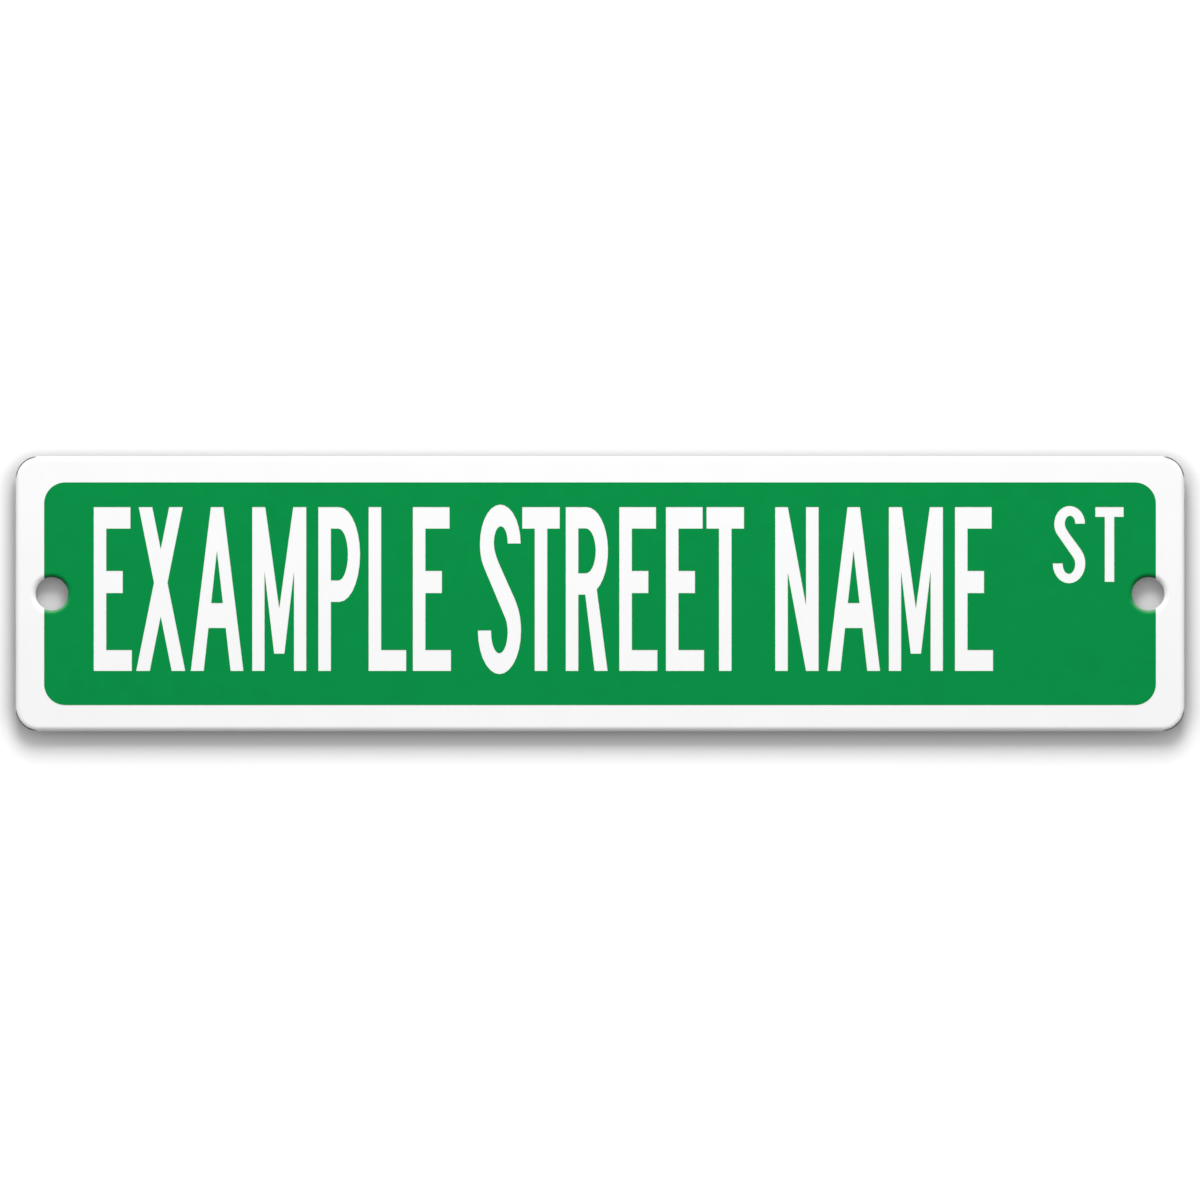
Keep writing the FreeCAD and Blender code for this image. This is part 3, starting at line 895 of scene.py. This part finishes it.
def light_room(studio):
    """Soft light from the whole room, brighter above than below, darker again far below, and darker behind
    the sign than before it. The camera, mirrors and glass see it as plain white. The two bands are ranges of
    a ray's unit direction along Z and along Y, over which the light changes."""
    foot_band, back_band = (-0.75, -0.15), (-0.1, 0.1)
    world = bpy.data.worlds.new("Room")
    bpy.context.scene.world = world
    world.use_nodes = True
    tree = world.node_tree
    tree.nodes.clear()
    way = wire(tree, "SeparateXYZ", wire(tree, "TexCoord").outputs["Generated"]).outputs
    level = product(
        tree,
        maths(tree, "MULTIPLY_ADD", way["Z"], studio.sky_slope, 1.0),
        spread(tree, way["Z"], *foot_band, studio.sky_foot, 1.0, smooth=True),
        spread(tree, way["Y"], *back_band, studio.sky, studio.sky_back * studio.sky),
    )
    strength = blend(tree, background_rays(tree), level, 1.0, kind="FLOAT")
    glow = wire(tree, "Background", Color=WHITE, Strength=strength)
    wire(tree, "OutputWorld", Surface=glow.outputs[0])


def hang_softbox(studio):
    """A square area lamp above and before the sign, turned to the sign's middle."""
    lamp = bpy.data.lights.new("softbox", "AREA")
    lamp.shape = "SQUARE"
    lamp.size = studio.lamp_size
    lamp.energy = studio.lamp_power
    softbox = add_object("softbox", lamp)
    softbox.location = (0.0, -studio.lamp_front, studio.lamp_rise)
    softbox.rotation_euler = softbox.location.to_track_quat("Z", "Y").to_euler()


def set_camera(studio):
    """A level camera square to the sign's front, a little below its middle."""
    lens = bpy.data.cameras.new("camera")
    lens.lens = studio.lens
    camera = add_object("camera", lens)
    camera.location = (0.0, -studio.camera_distance, -studio.camera_drop)
    camera.rotation_euler = (math.pi / 2, 0.0, 0.0)
    bpy.context.scene.camera = camera


class STREETSIGN_OT_coated_plate(bpy.types.Operator):
    """Builds the white coated sheet with its rolled edges and two screw holes."""

    bl_idname = "street_sign.coated_plate"
    bl_label = "Coated Plate"

    def execute(self, context):
        sizes, colours = context.scene.street_sign_sizes, context.scene.street_sign_colours
        materials = [white_coat(colours, sizes), bare_metal(colours)]
        piece = make_piece("coated_plate", materials, *plate_surface(sizes))
        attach(piece, "root")
        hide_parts("sign_plate")
        return {"FINISHED"}


class STREETSIGN_OT_green_field(bpy.types.Operator):
    """Builds the green film with the placeholder words cut out of it, so that the white coat shows."""

    bl_idname = "street_sign.green_field"
    bl_label = "Green Field"

    def execute(self, context):
        scene = context.scene
        sizes = scene.street_sign_sizes
        film = thicken(*film_front(sizes, scene.street_sign_wording), sizes.film_gauge)
        piece = make_piece("green_field_film", [green_film(scene.street_sign_colours, sizes)], *film)
        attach(piece, "root")
        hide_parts("green_field")
        return {"FINISHED"}


class STREETSIGN_OT_studio(bpy.types.Operator):
    """Sets the backdrop, the floor, the soft lamp, the room light and the camera."""

    bl_idname = "street_sign.studio"
    bl_label = "Studio"

    def execute(self, context):
        scene = context.scene
        studio, colours, sizes = scene.street_sign_studio, scene.street_sign_colours, scene.street_sign_sizes
        gap, reach, drop, wide = studio.wall_gap, studio.wall_reach, studio.floor_drop, studio.floor_reach
        pale = backdrop_board(colours, sizes, studio)
        flat_board("backdrop", (-reach, gap, -drop), (2 * reach, 0, 0), (0, 0, reach + drop), pale)
        grey = floor_board(colours, studio)
        floor = flat_board("floor", (-wide, -wide, -drop), (2 * wide, 0, 0), (0, 2 * wide, 0), grey)
        floor.visible_diffuse = False  # it throws no light on the sign
        hang_softbox(studio)
        light_room(studio)
        set_camera(studio)
        scene.view_settings.view_transform = "Standard"
        return {"FINISHED"}


OPERATORS = (STREETSIGN_OT_coated_plate, STREETSIGN_OT_green_field, STREETSIGN_OT_studio)
GROUPS = {
    "street_sign_sizes": SignSizes,
    "street_sign_wording": SignWording,
    "street_sign_colours": SignColours,
    "street_sign_studio": SignStudio,
}


class STREETSIGN_PT_sidebar(bpy.types.Panel):
    """Lists the sign's operators, and under them its sizes, words, colours and studio."""

    bl_label = "Street Name Sign"
    bl_space_type = "VIEW_3D"
    bl_region_type = "UI"
    bl_category = "Street Sign"

    def draw(self, context):
        for operator in OPERATORS:
            self.layout.operator(operator.bl_idname)
        for attribute, group in GROUPS.items():
            box = self.layout.box()
            box.label(text=attribute.removeprefix("street_sign_").title())
            for name in group.__annotations__:
                box.prop(getattr(context.scene, attribute), name)


def register():
    """Registers the classes and gives the scene the sign's properties."""
    for kind in (*GROUPS.values(), *OPERATORS, STREETSIGN_PT_sidebar):
        bpy.utils.register_class(kind)
    for attribute, group in GROUPS.items():
        setattr(bpy.types.Scene, attribute, bpy.props.PointerProperty(type=group))


def unregister():
    """Takes the properties and the classes away again."""
    for attribute in GROUPS:
        delattr(bpy.types.Scene, attribute)
    for kind in (STREETSIGN_PT_sidebar, *reversed(OPERATORS), *reversed(GROUPS.values())):
        bpy.utils.unregister_class(kind)


def main():
    """Builds every piece in order."""
    register()
    bpy.ops.street_sign.coated_plate()
    bpy.ops.street_sign.green_field()
    bpy.ops.street_sign.studio()


if __name__ == "__main__":
    main()
